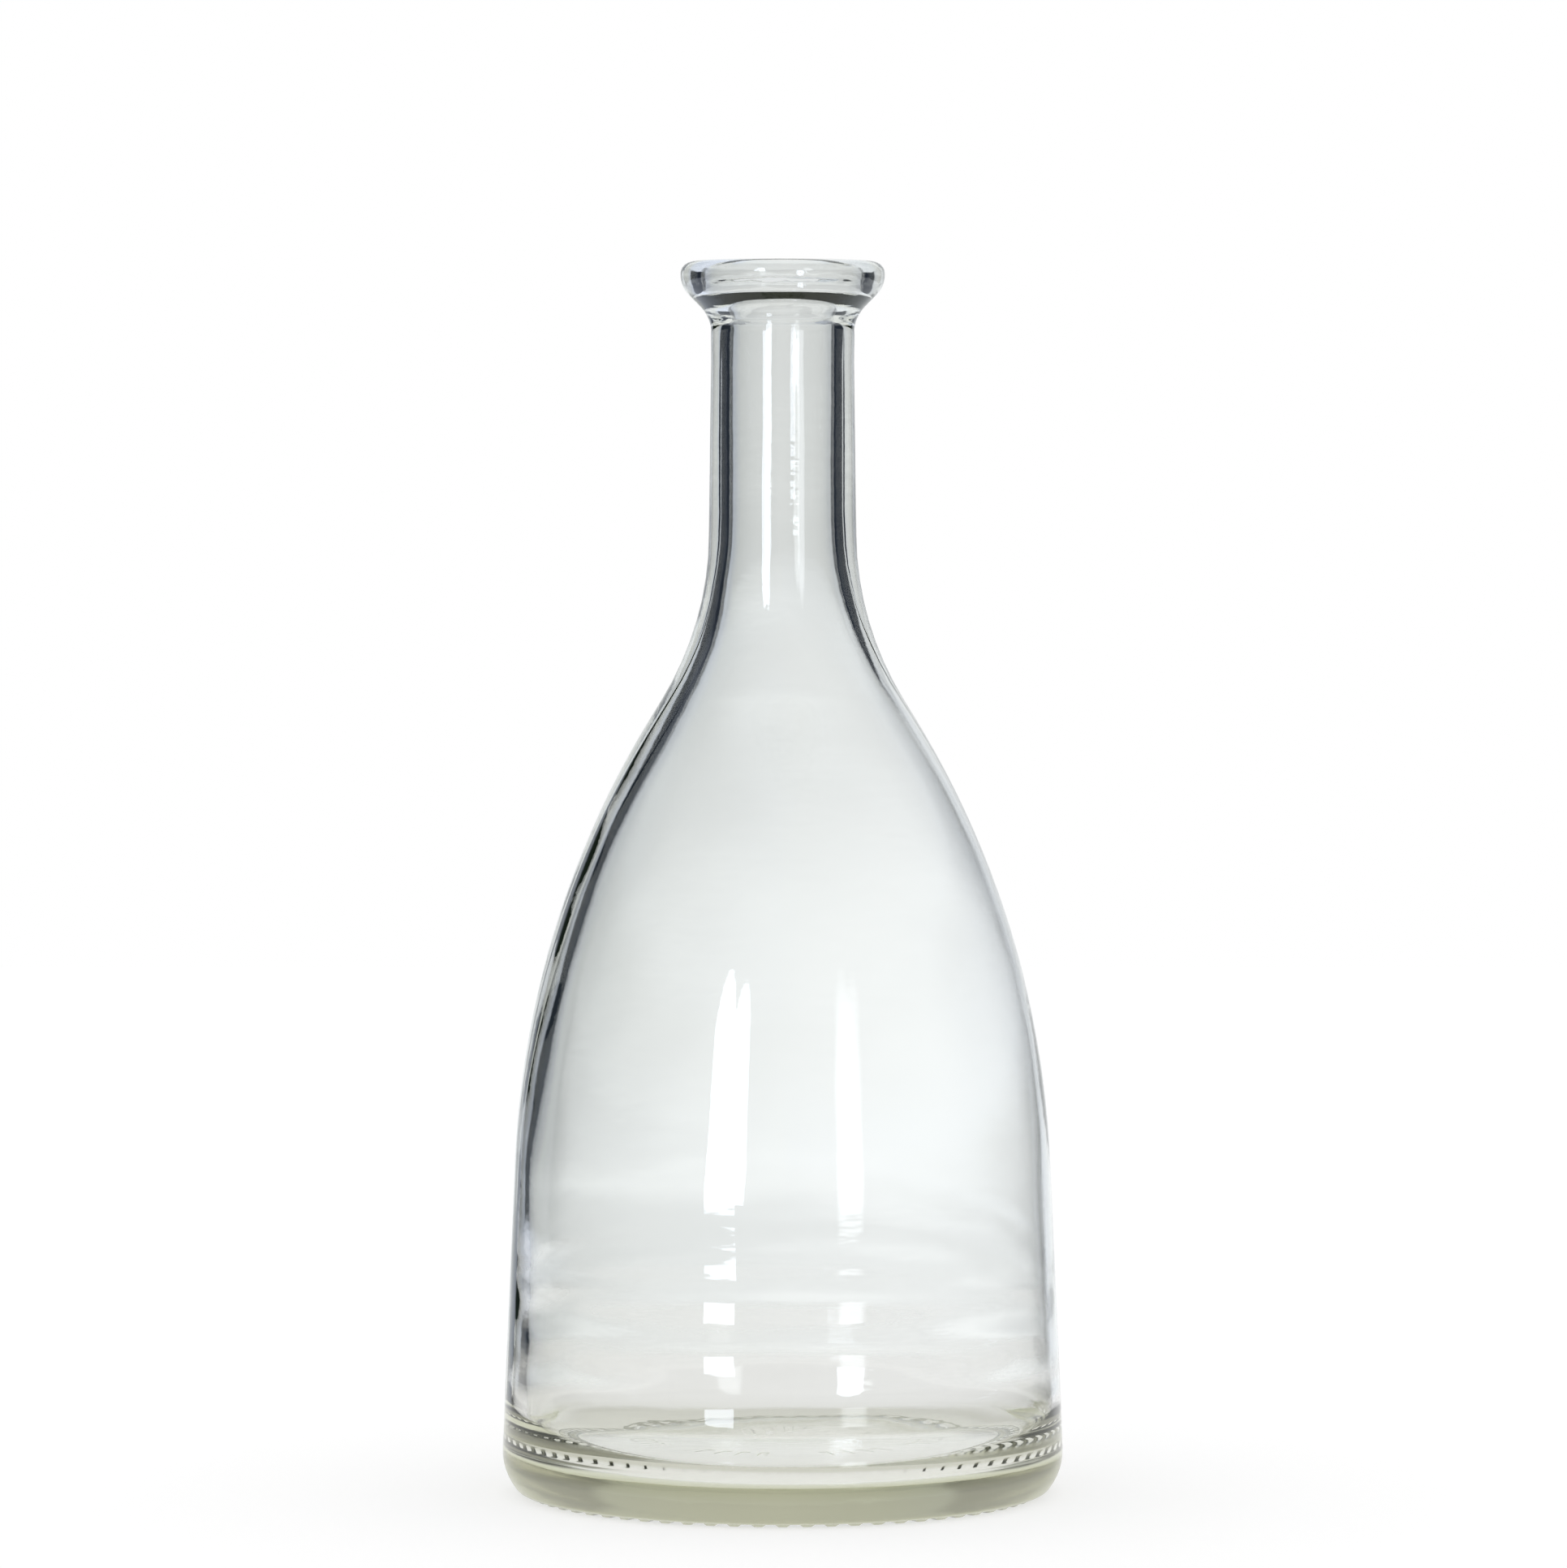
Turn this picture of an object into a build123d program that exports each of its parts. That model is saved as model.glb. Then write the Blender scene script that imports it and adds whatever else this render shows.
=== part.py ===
"""Clear glass bottle that holds 70 cl: a bell-shaped body, a long slim neck and a flared pouring lip.

The bottle is one moulded piece of glass, so the whole part is one hollow solid. All sizes are in
millimetres. The origin is the middle of the plane that the bottle stands on, and Z is its axis.

The wall is one outline turned about the axis. The outline is drawn the way a glassworks drawing
gives it: straight runs that would meet at sharp corners, each corner then bent to an arc. The inside
follows the same corners, set in by the thickness of the glass at each place. The foot is a flat
bearing ring with knurls, small raised bars that lift the ring off the table.
"""

import math
import os

from build123d import *
from build123d.topology import SkipClean

# Body and neck outside: the places where their straight runs would meet if left sharp
bottle_height = 219.1
heel_diameter = 100.32
heel_height = 4.4
shoulder_diameter = 91.8
shoulder_height = 101.8
neck_root_diameter = 26.6
neck_root_height = 154.8
neck_top_diameter = 25.2

# Lip: a rounded rim that flares out from the neck below it
lip_diameter = 36.3
lip_flare_depth = 10.0
lip_edge_height = 4.35

# Mouth: the bowl inside the lip, and the bore below it that takes the cork
mouth_diameter = 29.6
mouth_rounding = 1.25
bowl_diameter = 28.6
bowl_depth = 4.8
bowl_rounding = 2.2
bore_diameter = 18.5
bore_top_depth = 6.1
bore_top_rounding = 4.4
bore_end_depth = 45.0

# Thickness of the glass further down, and the inside of the floor
neck_wall = 3.5
slope_wall = 2.8
side_wall = 2.5
floor_height = 6.0
floor_rise = 1.6
inner_heel_radius = 9.5

# Foot: the bearing ring between the heel and the step up to the pushed-up base
foot_diameter = 94.4
ring_inner_diameter = 83.2
base_step_width = 2.0
base_step_height = 1.85
base_rise = 1.35

# Knurls: bars across the bearing ring, with cut corners and sloping flanks, that the bottle stands on
knurl_ring_diameter = 88.8
knurl_count = 68
knurl_height = 0.55
knurl_length = 3.2
knurl_width = 2.3
knurl_corner = 0.6
knurl_flank_angle = 28.0

# How much of the shorter run beside a corner its bend takes up
foot_bend_share = 0.17
heel_bend_share = 0.80
shoulder_bend_share = 0.69
neck_bend_share = 0.29
flare_bend_share = 0.37
lip_under_bend_share = 0.48
lip_top_bend_share = 0.64
inner_neck_bend_share = 0.72

# A curve is cut into bands so short that none stands off its chord by more than this
band_sag = 0.2


def meeting_point(before, corner, after, wall_before, wall_after):
    """Place inside a corner where the two walls meet, each set in by its own thickness."""
    run_in = (corner - before).normalized()
    run_out = (after - corner).normalized()
    normal_in = Vector(-run_in.Y, run_in.X)
    normal_out = Vector(-run_out.Y, run_out.X)
    cosine = normal_in.dot(normal_out)
    share_in = (wall_before - wall_after * cosine) / (1 - cosine**2)
    share_out = (wall_after - wall_before * cosine) / (1 - cosine**2)
    return corner + normal_in * share_in + normal_out * share_out


def bend_radius(before, corner, after, share_before, share_after=None):
    """Radius of the arc that bends a corner and takes up at most these shares of the runs beside it."""
    run_in = corner - before
    run_out = after - corner
    reach = min(share_before * run_in.length, (share_after or share_before) * run_out.length)
    return reach / math.tan(math.radians(run_in.get_angle(run_out)) / 2)


def radius_on_run(start, end, height):
    """Distance from the axis at a height on the straight run between two points."""
    return start.X + (end.X - start.X) * (height - start.Y) / (end.Y - start.Y)


def in_bands(edge):
    """The bands that an edge of the outline is cut into."""
    turn = math.radians((edge % 0).get_angle(edge % 1))
    sag = edge.length * turn / 8
    count = max(1, math.ceil(math.sqrt(sag / band_sag)))
    return [edge.trim(place / count, (place + 1) / count) for place in range(count)]


# Corners of the base, from its middle out to the bearing ring
ring_inside = Vector(ring_inner_diameter / 2, knurl_height)
base_edge = Vector(ring_inside.X - base_step_width, knurl_height + base_step_height)
base_middle = Vector(0, base_edge.Y + base_rise)

# Corners of the outside, from the bearing ring up to the rim and on down to the end of the cork bore
foot = Vector(foot_diameter / 2, knurl_height)
heel = Vector(heel_diameter / 2, heel_height)
shoulder = Vector(shoulder_diameter / 2, shoulder_height)
neck_root = Vector(neck_root_diameter / 2, neck_root_height)
flare_root = Vector(neck_top_diameter / 2, bottle_height - lip_flare_depth)
lip_under = Vector(lip_diameter / 2, bottle_height - lip_edge_height)
rim = Vector(lip_diameter / 2, bottle_height)
mouth = Vector(mouth_diameter / 2, bottle_height)
bowl = Vector(bowl_diameter / 2, bottle_height - bowl_depth)
bore_top = Vector(bore_diameter / 2, bottle_height - bore_top_depth)
bore_end = Vector(bore_diameter / 2, bottle_height - bore_end_depth)

# Corners of the inside, set in from the outside ones, down to the middle of the floor
inner_neck_root = meeting_point(shoulder, neck_root, flare_root, slope_wall, neck_wall)
inner_shoulder = meeting_point(heel, shoulder, neck_root, side_wall, slope_wall)
inner_heel = Vector(radius_on_run(heel, shoulder, floor_height) - side_wall, floor_height)
floor_middle = Vector(0, floor_height + floor_rise)

outside_bends = [
    bend_radius(ring_inside, foot, heel, foot_bend_share),
    bend_radius(foot, heel, shoulder, heel_bend_share),
    bend_radius(heel, shoulder, neck_root, shoulder_bend_share),
    bend_radius(shoulder, neck_root, flare_root, neck_bend_share),
    bend_radius(neck_root, flare_root, lip_under, flare_bend_share),
    bend_radius(flare_root, lip_under, rim, lip_under_bend_share),
    bend_radius(lip_under, rim, mouth, lip_top_bend_share),
    mouth_rounding,
    bowl_rounding,
    bore_top_rounding,
]
inner_neck_shares = (inner_neck_bend_share, neck_bend_share)
inside_bends = [
    bend_radius(bore_end, inner_neck_root, inner_shoulder, *inner_neck_shares),
    bend_radius(inner_neck_root, inner_shoulder, inner_heel, shoulder_bend_share),
    inner_heel_radius,
]

with BuildPart() as knurl:
    with BuildSketch(Plane.XY.offset(knurl_height)) as knurl_root:
        Rectangle(knurl_length, knurl_width)
        chamfer(knurl_root.vertices(), length=knurl_corner)
    extrude(amount=-knurl_height, taper=knurl_flank_angle)

with BuildLine() as outline:
    Polyline(base_middle, base_edge, ring_inside)
    FilletPolyline(
        ring_inside,
        foot,
        heel,
        shoulder,
        neck_root,
        flare_root,
        lip_under,
        rim,
        mouth,
        bowl,
        bore_top,
        bore_end,
        radius=outside_bends,
    )
    FilletPolyline(
        bore_end,
        inner_neck_root,
        inner_shoulder,
        inner_heel,
        floor_middle,
        radius=inside_bends,
    )
    Line(floor_middle, base_middle)

wall = Wire([band for edge in outline.edges() for band in in_bands(edge)], sequenced=True)

with SkipClean(), BuildPart() as bottle:
    revolve(profiles=Plane.XZ * Face(wall), axis=Axis.Z, clean=False)
    with PolarLocations(knurl_ring_diameter / 2, knurl_count):
        add(knurl.part)
bottle.part.label = "bottle"

os.makedirs("parts", exist_ok=True)
export_step(bottle.part, "parts/bottle.step")
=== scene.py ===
"""Looks of the clear glass bottle: its glass wall, its studio and the photograph's camera.

Everything is in metres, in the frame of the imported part: Z up, the bottle stands on Z = 0 and
its axis is the Z axis. The camera looks along +Y.
"""

import math

import bpy
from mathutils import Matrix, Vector


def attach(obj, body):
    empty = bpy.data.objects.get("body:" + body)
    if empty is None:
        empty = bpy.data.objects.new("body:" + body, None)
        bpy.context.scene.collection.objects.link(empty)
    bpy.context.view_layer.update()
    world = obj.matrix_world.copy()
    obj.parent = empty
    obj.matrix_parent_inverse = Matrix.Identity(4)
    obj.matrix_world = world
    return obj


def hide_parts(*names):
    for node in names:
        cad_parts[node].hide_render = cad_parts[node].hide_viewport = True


mm = 0.001

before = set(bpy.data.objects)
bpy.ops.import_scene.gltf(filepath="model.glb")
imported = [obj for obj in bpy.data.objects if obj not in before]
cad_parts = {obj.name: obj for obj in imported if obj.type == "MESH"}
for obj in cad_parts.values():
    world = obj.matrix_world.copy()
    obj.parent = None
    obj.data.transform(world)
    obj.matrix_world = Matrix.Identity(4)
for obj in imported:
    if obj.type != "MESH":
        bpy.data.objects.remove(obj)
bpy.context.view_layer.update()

# The wall's outline, as its straight runs would meet if left sharp
bottle_height = 219.1 * mm
heel_radius = 50.16 * mm
heel_height = 4.4 * mm
shoulder_radius = 45.9 * mm
shoulder_height = 101.8 * mm
neck_root_radius = 13.3 * mm
neck_root_height = 154.8 * mm
neck_top_radius = 12.6 * mm
lip_radius = 18.15 * mm
lip_flare_depth = 10.0 * mm
lip_edge_height = 4.35 * mm
mouth_radius = 14.8 * mm
mouth_rounding = 1.25 * mm
bowl_radius = 14.3 * mm
bowl_height = 214.3 * mm
bowl_rounding = 2.2 * mm
bore_radius = 9.25 * mm
bore_top_height = 213.0 * mm
bore_top_rounding = 4.4 * mm
bore_end_height = 174.1 * mm
neck_wall = 3.5 * mm
slope_wall = 2.8 * mm
side_wall = 2.5 * mm
floor_height = 6.0 * mm
floor_rise = 1.6 * mm
inner_heel_rounding = 9.5 * mm
foot_radius = 47.2 * mm
ring_inner_radius = 41.6 * mm
base_step_width = 2.0 * mm
base_step_height = 1.85 * mm
base_rise = 1.35 * mm
knurl_ring_radius = 44.4 * mm
knurl_count = 68
knurl_height = 0.55 * mm
knurl_length = 3.2 * mm

# How much of the shorter run beside a corner its bend takes up
base_edge_bend_share = 0.25
ring_bend_share = 0.28
foot_bend_share = 0.17
heel_bend_share = 0.80
shoulder_bend_share = 0.69
neck_bend_share = 0.29
flare_bend_share = 0.37
lip_under_bend_share = 0.48
lip_top_bend_share = 0.64
inner_neck_bend_share = 0.72

# Ring seam and settle wave on the neck, as a number of times the height of the upright seam
ring_seam_share = 2.0
settle_wave_share = 0.8

# Raised bars under the base, where such bottles carry their maker's code: a ring of them, in groups
mark_radius = 26 * mm
mark_count = 44
mark_groups = 7
mark_groups_turn = 1.2
mark_relief = 1.2
near_mark_relief = 3

# How finely the wall is made
sides = 6 * knurl_count
straight_step = 5.0 * mm
ring_step = 0.35 * mm
bend_step = math.radians(8)
shoulder_step = 3.8 * mm
merge_distance = 1e-6

# Clear glass, the colours of painted glow that stand in for light it has turned back inside many
# times, and a painted glow in a belt round the heel
refractive_index = 1.52
depth_colour = (0.38, 0.38, 0.0)
depth_density = 11.0
shadow_colour = (0.93, 0.94, 0.92)
lip_glow = (0.006, 0.011, 0.0)
foot_glow = (0.82, 0.84, 0.78)
# Painted glow in a belt round the heel, and how much of it is mixed in
heel_painted_glow = (0.52, 0.52, 0.43)
heel_painted_glow_share = 0.42
most_turns_inside = 3.5

# Brightness of the backdrop at angles to either side of straight behind the bottle, and its tint
backdrop_shades = [
    (-29, (0.0, 0.0, 0.0)),
    (-26, (0.66, 0.66, 0.66)),
    (-20, (0.74, 0.74, 0.74)),
    (-10, (0.86, 0.86, 0.86)),
    (0, (1.0, 1.0, 1.0)),
    (10, (0.94, 0.94, 0.94)),
    (20, (0.86, 0.86, 0.86)),
    (29, (0.74, 0.74, 0.74)),
    (33, (0.0, 0.0, 0.0)),
]
backdrop_tints = [
    (-27, (0.9, 0.97, 1.12)),
    (-15, (0.965, 1.0, 1.0)),
    (0, (0.98, 1.0, 1.0)),
    (15, (0.975, 1.0, 1.0)),
    (30, (0.955, 1.0, 1.05)),
]

# Softboxes beside the camera, in degrees to the side of it, and how evenly and strongly they shine
left_softbox = {"side": -26.5, "half_width": 6.2, "even_share": 0.85}
right_softbox = {"side": 29.0, "half_width": 6.6, "even_share": 0.2}
left_softbox_strength = 8
right_softbox_strength = 4
softbox_taper_height = 0.46
cloth_colour = (0.02, 0.026, 0.038)

# White paper under the bottle: the glow it shows by itself, how much less of it the glass sees, and
# a painted pool of light under the base that the glass sees
paper_glow = 0.53
paper_glow_dimmed_for_glass = 0.05
painted_light_under_base = 0.22
paper_half_width = 1.5

# The photograph's width and focal length in pixels, and the place and pitch of its camera
photo_width = 1931
focal_length = 8486
camera_place = (0.14 * mm, -1225 * mm, 170 * mm)
camera_pitch_degrees = 2.04


class Value:
    """An output in a node tree, on which sums can be written."""

    def __init__(self, board, socket):
        self.board = board
        self.socket = socket

    def sum(self, operation, *others):
        return self.board.sum(operation, self, *others)

    def __add__(self, other):
        return self.sum("ADD", other)

    def __radd__(self, other):
        return self.sum("ADD", other)

    def __sub__(self, other):
        return self.sum("SUBTRACT", other)

    def __rsub__(self, other):
        return self.board.sum("SUBTRACT", other, self)

    def __mul__(self, other):
        return self.sum("MULTIPLY", other)

    def __rmul__(self, other):
        return self.sum("MULTIPLY", other)

    def __truediv__(self, other):
        return self.sum("DIVIDE", other)

    def __gt__(self, other):
        return self.sum("GREATER_THAN", other)

    def __lt__(self, other):
        return self.sum("LESS_THAN", other)

    def __abs__(self):
        return self.sum("ABSOLUTE")

    def rise(self, low, high):
        """Climbs smoothly from 0 at low to 1 at high."""
        settings = {"interpolation_type": "SMOOTHSTEP"}
        levels = {"Value": self, "From Min": low, "From Max": high}
        return self.board.add("ShaderNodeMapRange", settings, levels)["Result"]

    def fall(self, low, high):
        """Drops smoothly from 1 at low to 0 at high."""
        return 1 - self.rise(low, high)


class Made:
    """A node that has been made, whose outputs are read by name."""

    def __init__(self, board, node):
        self.board = board
        self.node = node

    def __getitem__(self, name):
        for socket in self.node.outputs:
            if socket.enabled and name == socket.name:
                return Value(self.board, socket)
        raise KeyError(name)


class Board:
    """A node tree that is filled from Python."""

    def __init__(self, tree):
        self.tree = tree
        tree.nodes.clear()

    def add(self, kind, settings=None, sockets=None):
        """A node of this type, with its settings, and with the values or links of its sockets."""
        node = self.tree.nodes.new(kind)
        for name, setting in (settings or {}).items():
            if name == "stops":
                fill_ramp(node.color_ramp, setting)
            else:
                setattr(node, name, setting)
        for name, given in (sockets or {}).items():
            if isinstance(name, int):
                socket = node.inputs[name]
            else:
                socket = next(s for s in node.inputs if s.enabled and s.name == name)
            if isinstance(given, Value):
                self.tree.links.new(given.socket, socket)
            else:
                socket.default_value = given
        return Made(self, node)

    def sum(self, operation, *terms):
        sockets = dict(enumerate(terms))
        return self.add("ShaderNodeMath", {"operation": operation}, sockets)["Value"]

    def vector(self, x, y, z):
        return self.add("ShaderNodeCombineXYZ", None, {"X": x, "Y": y, "Z": z})["Vector"]

    def axes(self, vector):
        """The three numbers of a vector."""
        parts = self.add("ShaderNodeSeparateXYZ", None, {"Vector": vector})
        return parts["X"], parts["Y"], parts["Z"]

    def noise(self, place, scale, detail):
        sockets = {"Vector": place, "Scale": scale, "Detail": detail}
        return self.add("ShaderNodeTexNoise", None, sockets)["Fac"]

    def glow(self, colour, strength=1.0):
        """A surface that gives off this light."""
        sockets = {"Color": (*colour, 1), "Strength": strength}
        return self.add("ShaderNodeEmission", None, sockets)["Emission"]

    def surround(self, colour, strength=1.0):
        """Light from all round."""
        sockets = {"Color": colour, "Strength": strength}
        return self.add("ShaderNodeBackground", None, sockets)["Background"]

    def mix(self, share, first, second):
        """The first shader, with this share of the second one in its place."""
        sockets = {0: share, 1: first, 2: second}
        return self.add("ShaderNodeMixShader", None, sockets)["Shader"]

    def joined(self, first, second):
        """Both shaders together."""
        return self.add("ShaderNodeAddShader", None, {0: first, 1: second})["Shader"]


def fill_ramp(ramp, stops):
    """Sets a colour ramp that covers a half turn, from stops of degrees and colour."""
    while len(ramp.elements) < len(stops):
        ramp.elements.new(len(ramp.elements) / len(stops))
    for element, (degrees, colour) in zip(ramp.elements, stops):
        element.position = 0.5 + degrees / 180
        element.color = (*colour, 1)


def meeting_point(before, corner, after, wall_before, wall_after):
    """Place inside a corner where the two walls meet, each set in by its own thickness."""
    run_in = (corner - before).normalized()
    run_out = (after - corner).normalized()
    normal_in = Vector((-run_in.y, run_in.x))
    normal_out = Vector((-run_out.y, run_out.x))
    cosine = normal_in.dot(normal_out)
    share_in = (wall_before - wall_after * cosine) / (1 - cosine**2)
    share_out = (wall_after - wall_before * cosine) / (1 - cosine**2)
    return corner + normal_in * share_in + normal_out * share_out


def bend_radius(before, corner, after, share):
    """Radius of the arc that takes up this share of the shorter of the two runs at a corner."""
    run_in = corner - before
    run_out = after - corner
    reach = share * min(run_in.length, run_out.length)
    return reach / math.tan(run_in.angle(run_out) / 2)


def run_rows(start, end, step):
    """Rows along a straight run, without its start."""
    count = max(1, round((end - start).length / step))
    return [start.lerp(end, row / count) for row in range(1, count + 1)]


def bend_rows(before, corner, after, radius):
    """Rows along the arc that bends a corner."""
    run_in = (corner - before).normalized()
    run_out = (after - corner).normalized()
    turn = run_in.angle(run_out)
    reach = radius * math.tan(turn / 2)
    side = 1 if run_in.x * run_out.y > run_in.y * run_out.x else -1
    start = corner - run_in * reach
    middle = start + Vector((-run_in.y, run_in.x)) * side * radius
    arm = start - middle
    count = max(2, math.ceil(turn / bend_step), round(radius * turn / shoulder_step))
    rows = []
    for row in range(count + 1):
        angle = side * turn * row / count
        cosine, sine = math.cos(angle), math.sin(angle)
        swung = Vector((arm.x * cosine - arm.y * sine, arm.x * sine + arm.y * cosine))
        rows.append(middle + swung)
    return rows


def wall_rows():
    """Rows of the wall as (radius, height), from the middle of the base to that of the floor."""
    ring_inside = Vector((ring_inner_radius, knurl_height))
    base_edge = Vector((ring_inside.x - base_step_width, knurl_height + base_step_height))
    base_middle = Vector((0, base_edge.y + base_rise))
    foot = Vector((foot_radius, knurl_height))
    heel = Vector((heel_radius, heel_height))
    shoulder = Vector((shoulder_radius, shoulder_height))
    neck_root = Vector((neck_root_radius, neck_root_height))
    flare_root = Vector((neck_top_radius, bottle_height - lip_flare_depth))
    lip_under = Vector((lip_radius, bottle_height - lip_edge_height))
    rim = Vector((lip_radius, bottle_height))
    mouth = Vector((mouth_radius, bottle_height))
    bowl = Vector((bowl_radius, bowl_height))
    bore_top = Vector((bore_radius, bore_top_height))
    bore_end = Vector((bore_radius, bore_end_height))
    inner_neck_root = meeting_point(shoulder, neck_root, flare_root, slope_wall, neck_wall)
    inner_shoulder = meeting_point(heel, shoulder, neck_root, side_wall, slope_wall)
    inner_share = (floor_height - heel.y) / (shoulder.y - heel.y)
    inner_heel = heel.lerp(shoulder, inner_share) - Vector((side_wall, 0))
    floor_middle = Vector((0, floor_height + floor_rise))
    # Each corner, with the share or else the radius of its bend, or with neither if it stays sharp
    corners = [
        (base_middle, None, None),
        (base_edge, base_edge_bend_share, None),
        (ring_inside, ring_bend_share, None),
        (foot, foot_bend_share, None),
        (heel, heel_bend_share, None),
        (shoulder, shoulder_bend_share, None),
        (neck_root, neck_bend_share, None),
        (flare_root, flare_bend_share, None),
        (lip_under, lip_under_bend_share, None),
        (rim, lip_top_bend_share, None),
        (mouth, None, mouth_rounding),
        (bowl, None, bowl_rounding),
        (bore_top, None, bore_top_rounding),
        (bore_end, None, None),
        (inner_neck_root, inner_neck_bend_share, None),
        (inner_shoulder, shoulder_bend_share, None),
        (inner_heel, None, inner_heel_rounding),
        (floor_middle, None, None),
    ]
    rows = [base_middle]
    first_inside = 0
    for place in range(1, len(corners)):
        corner, share, radius = corners[place]
        step = ring_step if corner is foot else straight_step
        if share is None and radius is None:
            rows += run_rows(rows[-1], corner, step)
            continue
        before, after = corners[place - 1][0], corners[place + 1][0]
        arc = bend_rows(before, corner, after, radius or bend_radius(before, corner, after, share))
        rows += run_rows(rows[-1], arc[0], step) + arc[1:]
        if corner is rim:
            first_inside = len(rows)
    return rows, first_inside


def base_marks(x, y, radius, height):
    """Raised bars in a ring under the base, bolder on the side towards the camera."""
    turn = y.sum("ARCTAN2", x)
    bars = (turn * mark_count).sum("COSINE").rise(0.0, 0.5)
    groups = (turn * mark_groups + mark_groups_turn).sum("COSINE").rise(-0.5, -0.2)
    bars = bars * groups * (mark_relief + (y < 0) * near_mark_relief)
    ring = abs(radius - mark_radius).fall(1.7 * mm, 2.3 * mm)
    return bars * ring * height.fall(4.2 * mm, 4.8 * mm)


def low_waves(radius, height):
    """Level waves on the outside of the wall, a little above the heel."""
    wave_middle = 32.7 * mm
    wave_length = 9 * mm
    outside = radius.rise(47.8 * mm, 48.2 * mm)
    low = height.rise(8 * mm, 12 * mm) * height.fall(38 * mm, 46 * mm)
    return ((height - wave_middle) * (2 * math.pi / wave_length)).sum("SINE") * (outside * low)


def glass_material():
    """Clear glass with fine level wrinkles from the mould and a faint olive tint in its depth.

    Light that the glass turns back inside more than a few times is replaced by a painted glow:
    dark at the lip, and paler at the foot. A painted glow also lies in a belt round the heel, and
    painted shade makes the glass's colour darker at the lip.
    """
    glass = bpy.data.materials.new("clear_glass")
    glass.use_nodes = True
    board = Board(glass.node_tree)
    place = board.add("ShaderNodeTexCoord")["Object"]
    x, y, height = board.axes(place)
    radius = (x * x + y * y).sum("SQRT")
    heel = height.fall(4.5 * mm, 8 * mm)
    neck = height.rise(140 * mm, 160 * mm)
    lip = height.rise(206 * mm, 209 * mm)

    drawn_level = {"Vector": place, "Scale": (0.3, 0.3, 1)}
    wrinkles = board.noise(board.add("ShaderNodeMapping", None, drawn_level)["Vector"], 420.0, 2.0)
    pools = board.noise(place, 45.0, 1.0)
    wrinkle_depth = 0.06 + neck * 0.12 + heel * 0.3 + lip * 0.2
    waves = low_waves(radius, height) * pools * 0.5
    relief = wrinkles * wrinkle_depth + pools + base_marks(x, y, radius, height) + waves
    bump = {"Height": relief, "Strength": 0.3, "Distance": 0.6 * mm}
    # Painted shade: the glass's colour is darker at the lip
    painted_lip_shade = 0.99 - lip * 0.09
    skin = {
        "Base Color": board.vector(painted_lip_shade, painted_lip_shade * 1.003, painted_lip_shade),
        "Roughness": wrinkles.rise(0.5, 0.8) * 0.02 + heel * 0.14,
        "IOR": refractive_index,
        "Transmission Weight": 1.0,
        "Normal": board.add("ShaderNodeBump", None, bump)["Normal"],
    }
    solid = board.add("ShaderNodeBsdfPrincipled", None, skin)["BSDF"]

    path = board.add("ShaderNodeLightPath")
    # Painted glow, dark at the lip and pale near the ground, in place of light turned back inside
    # the glass more than a few times
    near_ground = height.fall(20 * mm, 30 * mm) * abs(x).fall(30 * mm, 38 * mm)
    painted_deep_glow = board.mix(near_ground, board.glow(lip_glow), board.glow(foot_glow))
    deep = board.mix(path["Glossy Depth"] > most_turns_inside, solid, painted_deep_glow)
    # Painted glow mixed into a belt round the heel
    belt = heel * radius.rise(44 * mm, 46 * mm) * heel_painted_glow_share
    deep = board.mix(belt, deep, board.glow(heel_painted_glow))
    see_through = {"Color": (*shadow_colour, 1)}
    clear = board.add("ShaderNodeBsdfTransparent", None, see_through)["BSDF"]
    surface = board.mix(path["Is Shadow Ray"], deep, clear)
    tint = {"Color": (*depth_colour, 1), "Density": depth_density}
    depth = board.add("ShaderNodeVolumeAbsorption", None, tint)["Volume"]
    board.add("ShaderNodeOutputMaterial", None, {"Surface": surface, "Volume": depth})
    return glass


def knurl_drop(size, turn, radius, height):
    """How far the knurls reach down from the bearing ring."""
    half = size["Knurl half length"]
    bar = abs(radius - size["Knurl ring radius"]).fall(half - 0.45 * mm, half + 0.1 * mm)
    tooth = (turn * size["Knurl count"]).sum("COSINE").rise(-0.25, 0.6)
    return bar * tooth * height.fall(0.6 * mm, 0.9 * mm) * size["Knurl height"]


def mould_ridges(size, along, radius, height, side, outside):
    """Relief of the outside, as a number of times the height of the mould's seam.

    The side is set in by one seam height and the two upright seams stand in its old place, so that
    nothing grows out of the solid's size.
    """
    seam = abs(along * radius).fall(0.1 * mm, 0.8 * mm)
    ring_seam = abs(height - size["Neck ring seam height"]).fall(0.1 * mm, 0.9 * mm)
    wave = abs(height - size["Settle wave height"]).fall(0.2 * mm, 2.2 * mm)
    seams = (seam - 1) * side
    return seams + ring_seam * outside * ring_seam_share + wave * outside * settle_wave_share


def inside_thinned(size, height):
    """How much closer the inner wall is to the outer one than in the solid."""
    body = height.fall(105 * mm, 150 * mm) * height.rise(30 * mm, 55 * mm)
    root = height.rise(140 * mm, 150 * mm) * height.fall(160 * mm, 172 * mm)
    neck = height.rise(150 * mm, 165 * mm) * height.fall(200 * mm, 212 * mm)
    thinner = size["Thinner side wall"] * body
    thinner = thinner + size["Thinner neck root wall"] * root
    return thinner + size["Thinner neck wall"] * neck


def inside_shift(size, height):
    """How far the inside lies to the right of the axis, as blown glass is never quite even."""
    in_neck = height.rise(150 * mm, 165 * mm) * height.fall(200 * mm, 212 * mm)
    shift = size["Uneven bore"] * in_neck
    shift = shift + size["Uneven neck wall"] * height.fall(150 * mm, 164 * mm)
    shift = shift + size["Uneven shoulder wall"] * height.fall(130 * mm, 156 * mm)
    shift = shift + size["Uneven side wall"] * height.fall(45 * mm, 100 * mm)
    return shift + size["Uneven heel wall"] * height.fall(28 * mm, 60 * mm)


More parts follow.
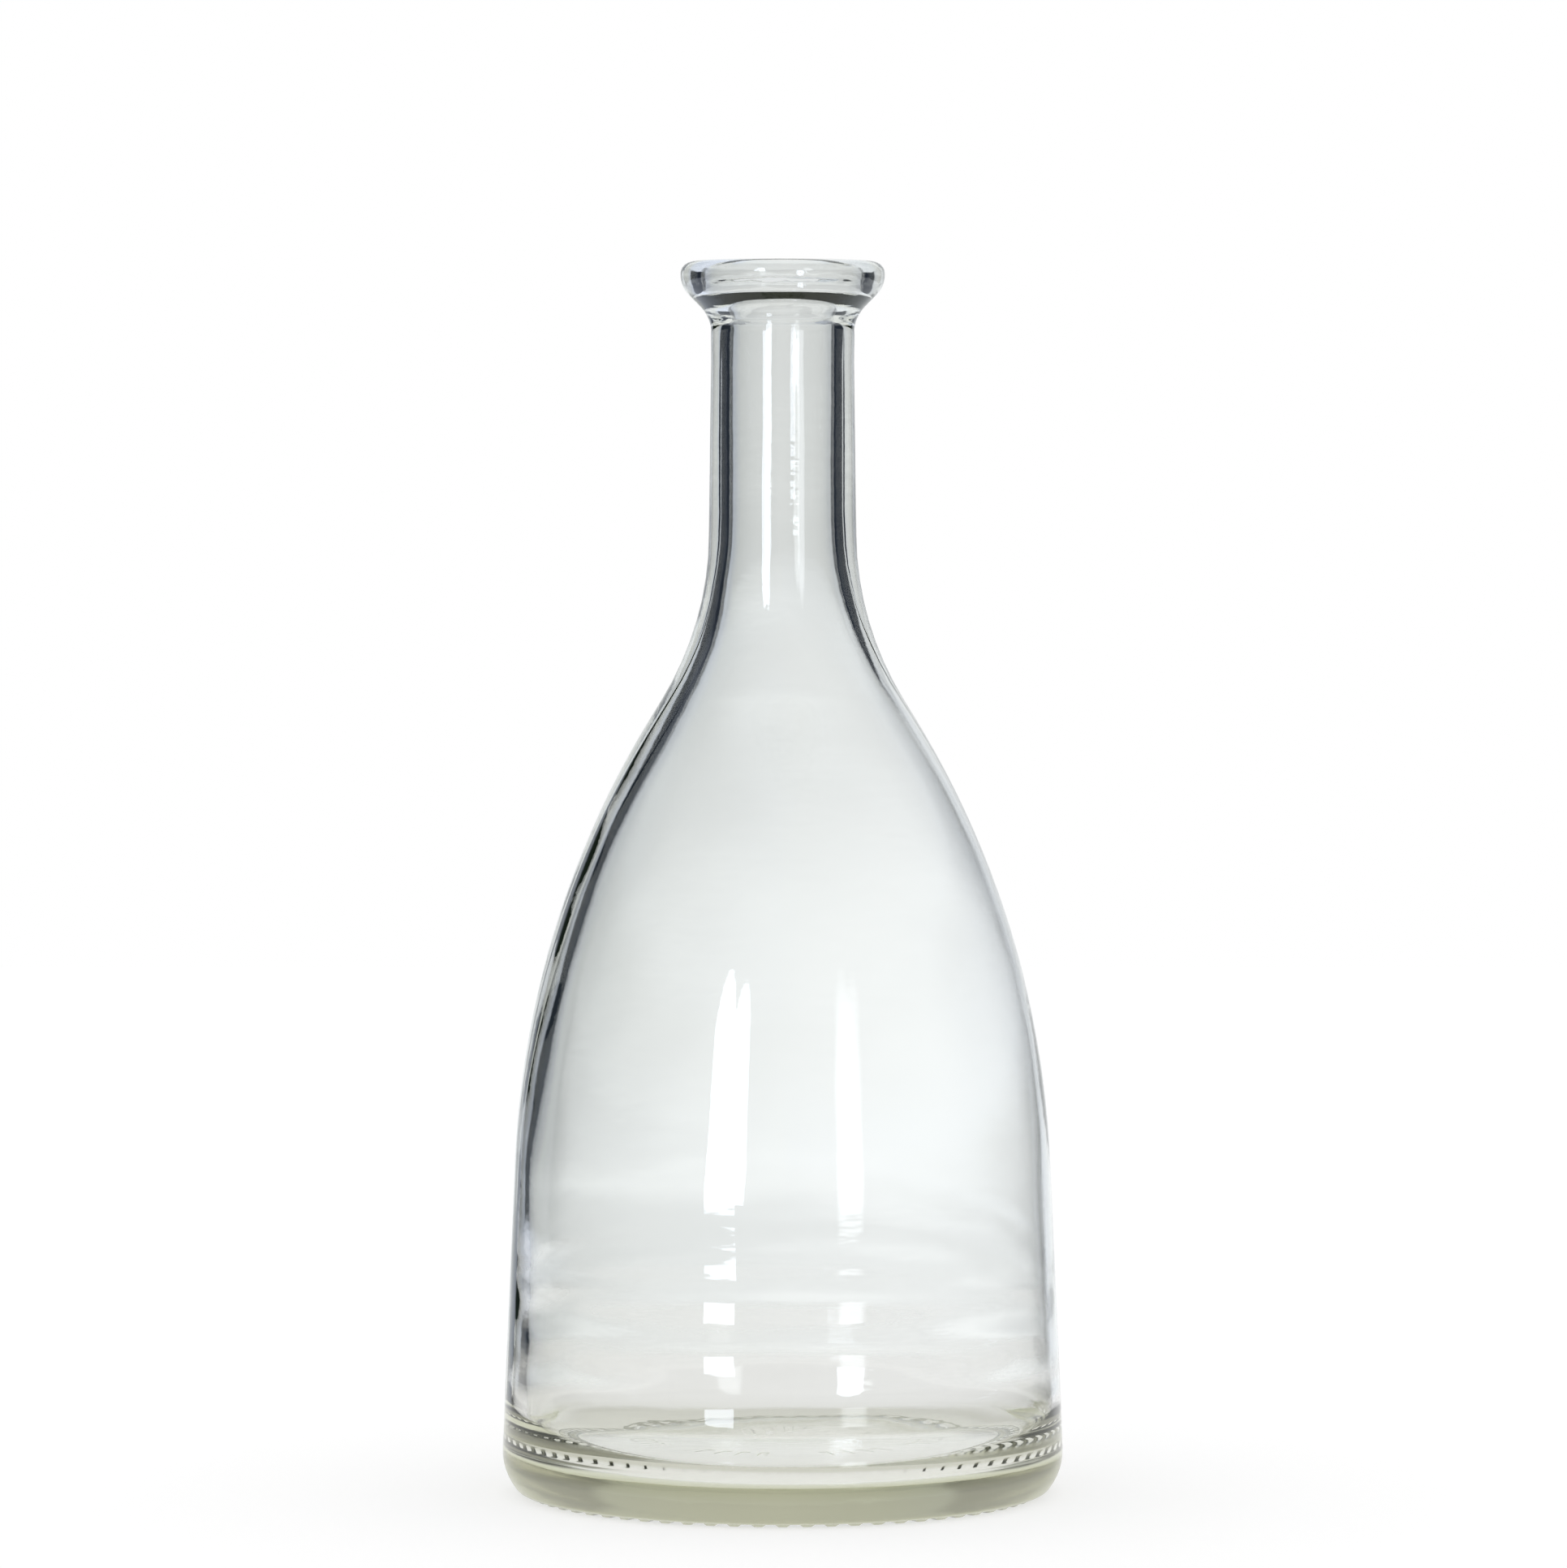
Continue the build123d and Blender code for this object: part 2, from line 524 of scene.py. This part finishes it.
def wall_tree(first_inside, glass):
    """Geometry nodes that turn the outline's rows into the whole wall."""
    tree = bpy.data.node_groups.new("bottle_wall", "GeometryNodeTree")
    tree.interface.new_socket("Outline", in_out="INPUT", socket_type="NodeSocketGeometry")
    sizes = {
        "First inner row": first_inside,
        "Uneven bore": -0.12 * mm,
        "Uneven neck wall": 0.35 * mm,
        "Uneven shoulder wall": 1.1 * mm,
        "Uneven side wall": -0.85 * mm,
        "Uneven heel wall": 0.55 * mm,
        "Thinner side wall": 0.55 * mm,
        "Thinner neck root wall": 0.35 * mm,
        "Thinner neck wall": 0.12 * mm,
        "Knurl count": knurl_count,
        "Knurl ring radius": knurl_ring_radius,
        "Knurl half length": knurl_length / 2,
        "Knurl height": knurl_height,
        "Mould seam": 0.06 * mm,
        "Neck ring seam height": 206.4 * mm,
        "Settle wave height": 171.5 * mm,
        "Inner ripple": 0.3 * mm,
        "Outer ripple": 0.10 * mm,
    }
    names = {}
    for name in sizes:
        names[name] = tree.interface.new_socket(name, in_out="INPUT", socket_type="NodeSocketFloat")
    tree.interface.new_socket("Wall", in_out="OUTPUT", socket_type="NodeSocketGeometry")
    board = Board(tree)
    given = board.add("NodeGroupInput")
    size = {name: given[name] for name in sizes}
    outline = given["Outline"]

    # A grid with one line of points for each row of the outline, and one column for each side
    rows = board.add("GeometryNodeAttributeDomainSize", None, {"Geometry": outline})["Point Count"]
    net = {"Size X": 1.0, "Size Y": 1.0, "Vertices X": rows, "Vertices Y": sides + 1}
    grid = board.add("GeometryNodeMeshGrid", None, net)["Mesh"]
    index = board.add("GeometryNodeInputIndex")["Index"]
    row = ((index + 0.5) / (sides + 1)).sum("FLOOR")
    turn = (index - row * (sides + 1)) * (2 * math.pi / sides)
    at = board.add("GeometryNodeInputPosition")["Position"]
    sample = {"Geometry": outline, "Value": at, "Index": row}
    settings = {"data_type": "FLOAT_VECTOR", "domain": "POINT"}
    point = board.add("GeometryNodeSampleIndex", settings, sample)["Value"]
    radius, _, height = board.axes(point)
    inside = row > (size["First inner row"] - 0.5)
    outside = 1 - inside
    across = turn.sum("COSINE")
    along = turn.sum("SINE")

    drop = knurl_drop(size, turn, radius, height) * outside
    side = height.rise(9 * mm, 14 * mm) * height.fall(205 * mm, 206 * mm) * outside
    ridges = mould_ridges(size, along, radius, height, side, outside)
    spot = board.vector(across * radius, along * radius, height * 0.7)
    swell = board.noise(spot, 38.0, 1.0) - 0.5
    inner_wall = height.rise(9 * mm, 22 * mm) * height.fall(170 * mm, 205 * mm)
    ripple = swell * size["Inner ripple"] * 2 * inside * inner_wall
    heave = swell * size["Outer ripple"] * 2 * side
    widened = radius + inside_thinned(size, height) * inside + ridges * size["Mould seam"]
    widened = widened + ripple * radius.rise(0, 12 * mm) + heave
    shift = inside_shift(size, height) * inside

    place = board.vector(across * widened + shift, along * widened, height - drop)
    placed = {"Geometry": grid, "Position": place}
    moved = board.add("GeometryNodeSetPosition", None, placed)["Geometry"]
    merge = {"Geometry": moved, "Distance": merge_distance}
    closed = board.add("GeometryNodeMergeByDistance", None, merge)["Geometry"]
    facing = board.add("GeometryNodeFlipFaces", None, {"Mesh": closed})["Mesh"]
    smooth = board.add("GeometryNodeSetShadeSmooth", None, {"Geometry": facing})["Geometry"]
    real = board.add("GeometryNodeRealizeInstances", None, {"Geometry": smooth})["Geometry"]
    dressed = {"Geometry": real, "Material": glass}
    finished = board.add("GeometryNodeSetMaterial", None, dressed)["Geometry"]
    board.add("NodeGroupOutput", None, {"Wall": finished})
    return tree, {names[name].identifier: sizes[name] for name in sizes}


def add_wall():
    """The bottle's wall as one closed mesh."""
    rows, first_inside = wall_rows()
    outline = bpy.data.meshes.new("outline")
    outline.from_pydata([(row.x, 0, row.y) for row in rows], [], [])
    maker = bpy.data.objects.new("outline", outline)
    bpy.context.collection.objects.link(maker)
    tree, levels = wall_tree(first_inside, glass_material())
    turning = maker.modifiers.new("wall", "NODES")
    turning.node_group = tree
    for identifier, level in levels.items():
        turning[identifier] = float(level)
    graph = bpy.context.evaluated_depsgraph_get()
    mesh = bpy.data.meshes.new_from_object(maker.evaluated_get(graph))
    bpy.data.objects.remove(maker)
    mesh.name = "glass_wall"
    wall = bpy.data.objects.new("glass_wall", mesh)
    bpy.context.collection.objects.link(wall)
    return wall


def seen_by_glass(path):
    """1 for light that comes by way of the glass, else 0."""
    return path["Is Glossy Ray"].sum("MAXIMUM", path["Is Transmission Ray"])


def studio_world():
    """White all round, but glass sees a backdrop that fades out to dark, and two softboxes."""
    world = bpy.data.worlds.new("studio")
    world.use_nodes = True
    bpy.context.scene.world = world
    board = Board(world.node_tree)
    way = board.add("ShaderNodeTexCoord")["Generated"]
    x, y, z = board.axes(way)
    level = (x * x + y * y).sum("SQRT").sum("MAXIMUM", 0.001)
    turned = {"Fac": x.sum("ARCTAN2", y) / math.pi + 0.5}
    shades = board.add("ShaderNodeValToRGB", {"stops": backdrop_shades}, turned)["Color"]
    tint = board.add("ShaderNodeValToRGB", {"stops": backdrop_tints}, turned)["Color"]
    behind = shades * (y > 0)
    high_side = 0.4 * z.rise(0.3, 0.42) * (y / level).fall(cosine(60), cosine(50))
    above = z.rise(0.6, 0.85) * 0.6
    below = z.fall(-0.2, -0.14)
    white = behind.sum("MAXIMUM", high_side)
    white = white.sum("MAXIMUM", above).sum("MAXIMUM", below)
    low_light = 0.96 + z.rise(-0.125, -0.085) * 0.16 - z.rise(-0.11, 0.02) * 0.28
    level_light = low_light + z.rise(0.03, 0.2) * 0.1
    left = softbox_seen(x, y, z, **left_softbox) * left_softbox_strength
    right = softbox_seen(x, y, z, **right_softbox) * right_softbox_strength
    lit = board.surround(tint, left + right + white * level_light)
    studio = board.joined(lit, board.surround((*cloth_colour, 1)))
    path = board.add("ShaderNodeLightPath")
    surface = board.mix(seen_by_glass(path), board.surround((1, 1, 1, 1)), studio)
    board.add("ShaderNodeOutputWorld", None, {"Surface": surface})


def cosine(degrees):
    return math.cos(math.radians(degrees))


def softbox_seen(x, y, z, side, half_width, even_share):
    """Where a tall softbox beside the camera, narrower towards its top, is seen in the glass."""
    facing = (math.sin(math.radians(side)), -math.cos(math.radians(side)))
    level = (x * x + y * y).sum("SQRT").sum("MAXIMUM", 0.001)
    towards = ((x * facing[0] + y * facing[1]) / level).sum("MINIMUM", 1)
    aside = towards.sum("ARCCOSINE") / math.radians(half_width)
    taper = z.sum("MAXIMUM", 0) / softbox_taper_height
    spread = aside * aside + taper * taper * taper
    return spread.fall(even_share, 1.0) * z.rise(-0.018, -0.01)


def floor_material():
    """White paper that keeps the bottle's soft shadow; as the glass sees it, it glows a little
    less, has a painted pool of light under the base, and ends 0.3 m away.
    """
    paper = bpy.data.materials.new("white_paper")
    paper.use_nodes = True
    board = Board(paper.node_tree)
    path = board.add("ShaderNodeLightPath")
    place = board.add("ShaderNodeTexCoord")["Object"]
    x, y, _ = board.axes(place)
    radius = (x * x + y * y).sum("SQRT")
    fibres = {"Height": board.noise(place, 900.0, 3.0), "Distance": 0.02 * mm}
    normal = board.add("ShaderNodeBump", None, fibres)["Normal"]
    grey = {"Color": (0.5, 0.5, 0.5, 1), "Normal": normal}
    matt = board.add("ShaderNodeBsdfDiffuse", None, grey)["BSDF"]
    by_glass = seen_by_glass(path)
    shown = path["Is Camera Ray"].sum("MAXIMUM", by_glass)
    # Painted pool of light on the paper under the base, seen only by way of the glass
    under_base = by_glass * radius.fall(42 * mm, 52 * mm)
    # The paper glows a little less as the glass sees it
    strength = shown * paper_glow - by_glass * paper_glow_dimmed_for_glass
    strength = strength + under_base * painted_light_under_base
    sheet = board.joined(matt, board.glow((1, 1, 1), strength))
    clear = board.add("ShaderNodeBsdfTransparent")["BSDF"]
    surface = board.mix(by_glass * radius.rise(0.1, 0.3), sheet, clear)
    board.add("ShaderNodeOutputMaterial", None, {"Surface": surface})
    return paper


def add_floor():
    """The sheet of paper that the bottle stands on."""
    mesh = bpy.data.meshes.new("floor")
    half = paper_half_width
    corners = [(-half, -half, 0), (half, -half, 0), (half, half, 0), (-half, half, 0)]
    mesh.from_pydata(corners, [], [(0, 1, 2, 3)])
    mesh.materials.append(floor_material())
    sheet = bpy.data.objects.new("floor", mesh)
    bpy.context.collection.objects.link(sheet)


def add_camera():
    """The photograph's camera."""
    lens = bpy.data.cameras.new("camera")
    lens.sensor_fit = "HORIZONTAL"
    lens.angle = 2 * math.atan(photo_width / 2 / focal_length)
    lens.clip_start = 0.05
    eye = bpy.data.objects.new("camera", lens)
    eye.location = camera_place
    eye.rotation_euler = (math.radians(90 - camera_pitch_degrees), 0, 0)
    bpy.context.collection.objects.link(eye)
    bpy.context.scene.camera = eye


add_camera()
wall = add_wall()
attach(wall, "root")
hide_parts("bottle")
add_floor()
studio_world()
bpy.context.scene.view_settings.view_transform = "Standard"
